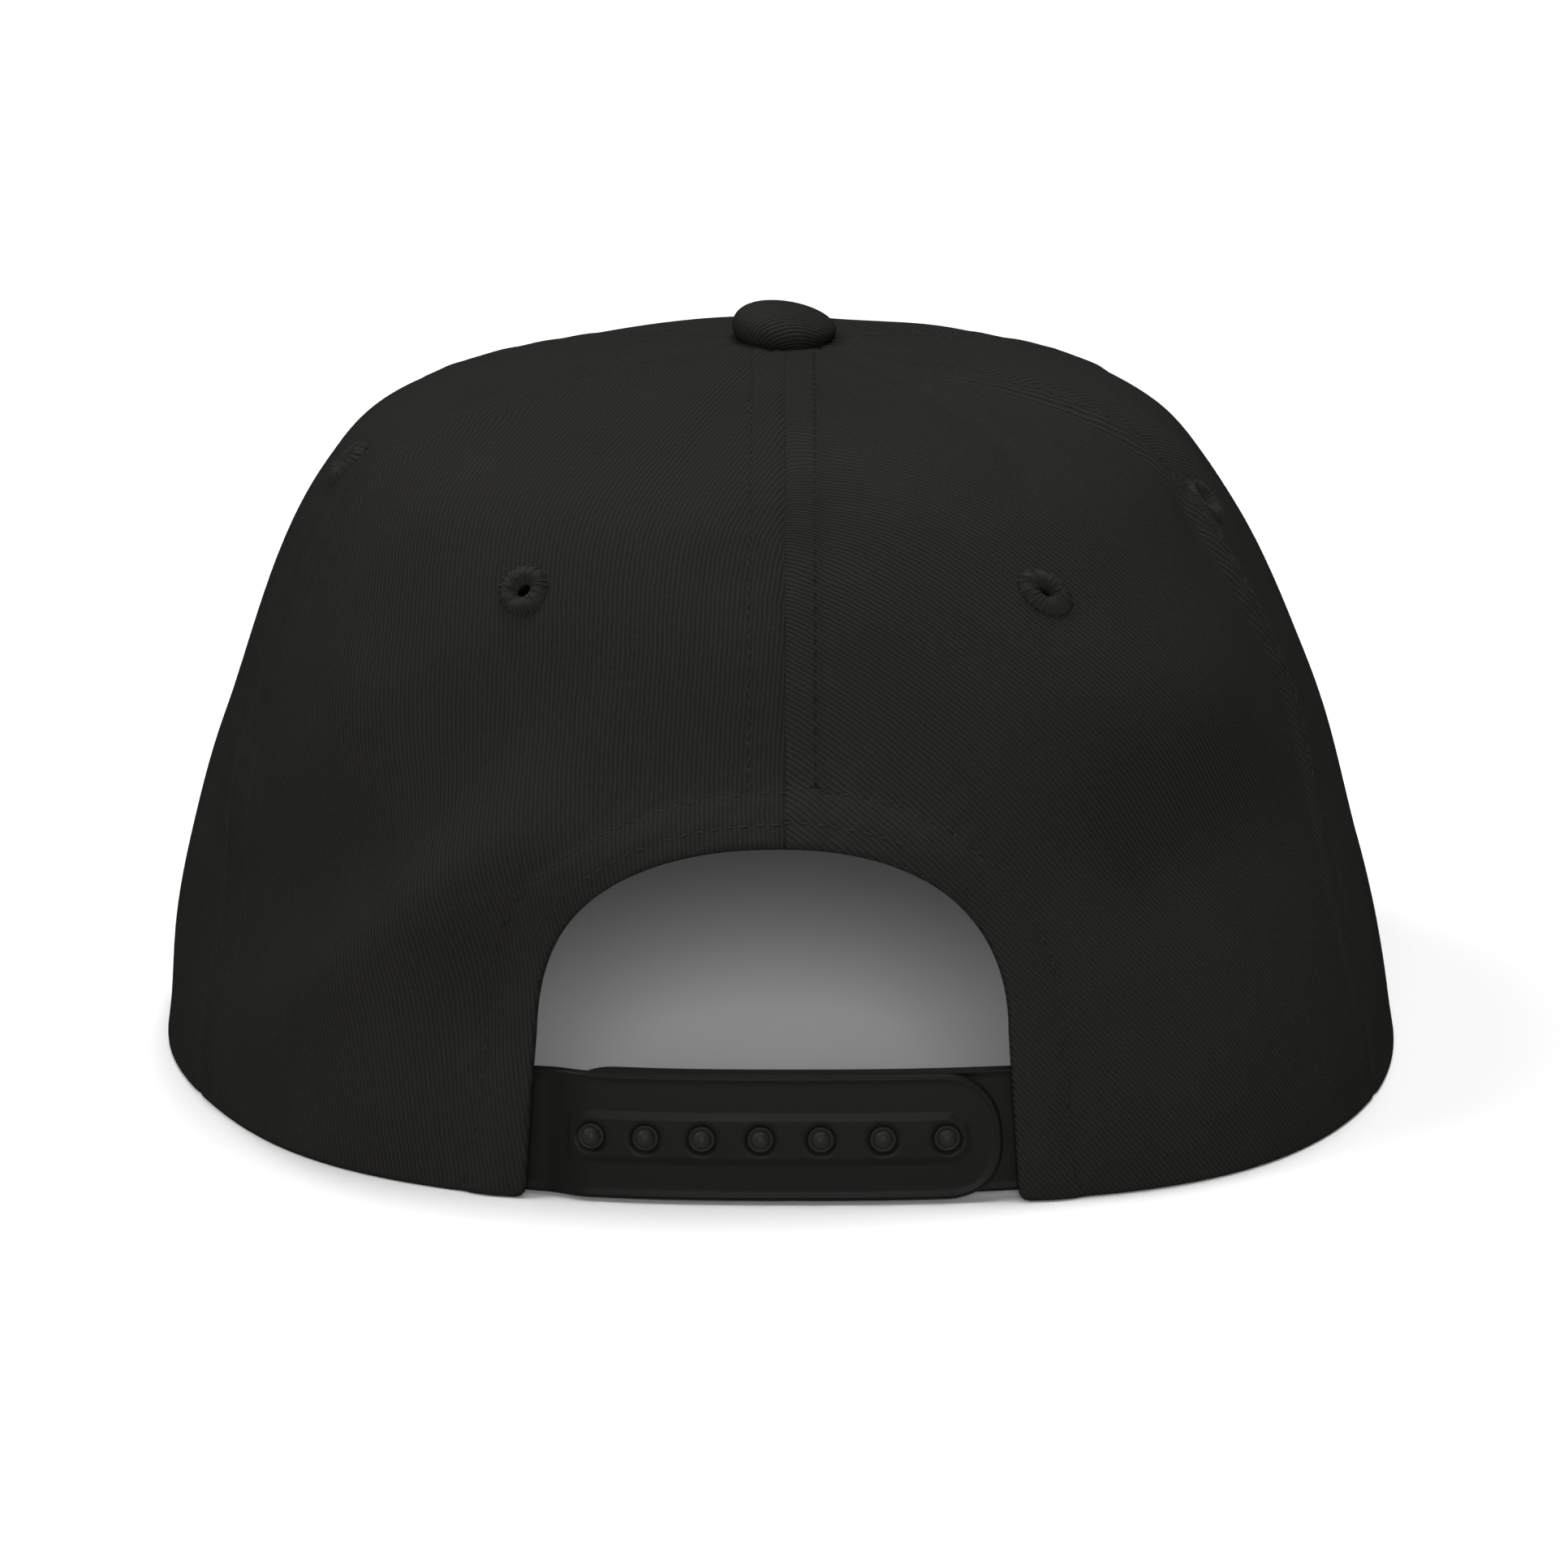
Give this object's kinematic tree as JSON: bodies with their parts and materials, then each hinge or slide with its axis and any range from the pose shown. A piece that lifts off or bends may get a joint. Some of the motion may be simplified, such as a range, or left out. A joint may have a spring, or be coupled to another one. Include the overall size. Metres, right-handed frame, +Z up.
{
  "type": "flat bill cap",
  "caption": "Flat bill cap: paneled cloth crown with sewn eyelets, covered top button, flat bill, arched back opening and a plastic snap strap.",
  "frame": {"origin": "middle of the footprint on the surface that the cap lies on", "axes": "+X towards the wearer's left, +Y from the bill towards the opening at the back, +Z up"},
  "size_m": [0.1924, 0.2512, 0.1143],
  "materials": {
    "twill": "matt black cotton twill",
    "eyelet_thread": "satin black thread",
    "strap_plastic": "soft satin black plastic"
  },
  "bodies": {
    "root": {"panel_back_left": "twill", "panel_back_right": "twill", "panel_side_left": "twill", "panel_side_right": "twill", "panel_front_left": "twill", "panel_front_right": "twill", "top_button": "twill", "bill": "twill", "eyelet_back_left": "eyelet_thread", "eyelet_back_right": "eyelet_thread", "eyelet_side_left": "eyelet_thread", "eyelet_side_right": "eyelet_thread", "eyelet_front_left": "eyelet_thread", "eyelet_front_right": "eyelet_thread", "strap_with_holes": "strap_plastic", "strap_with_studs": "strap_plastic"}
  },
  "joints": []
}
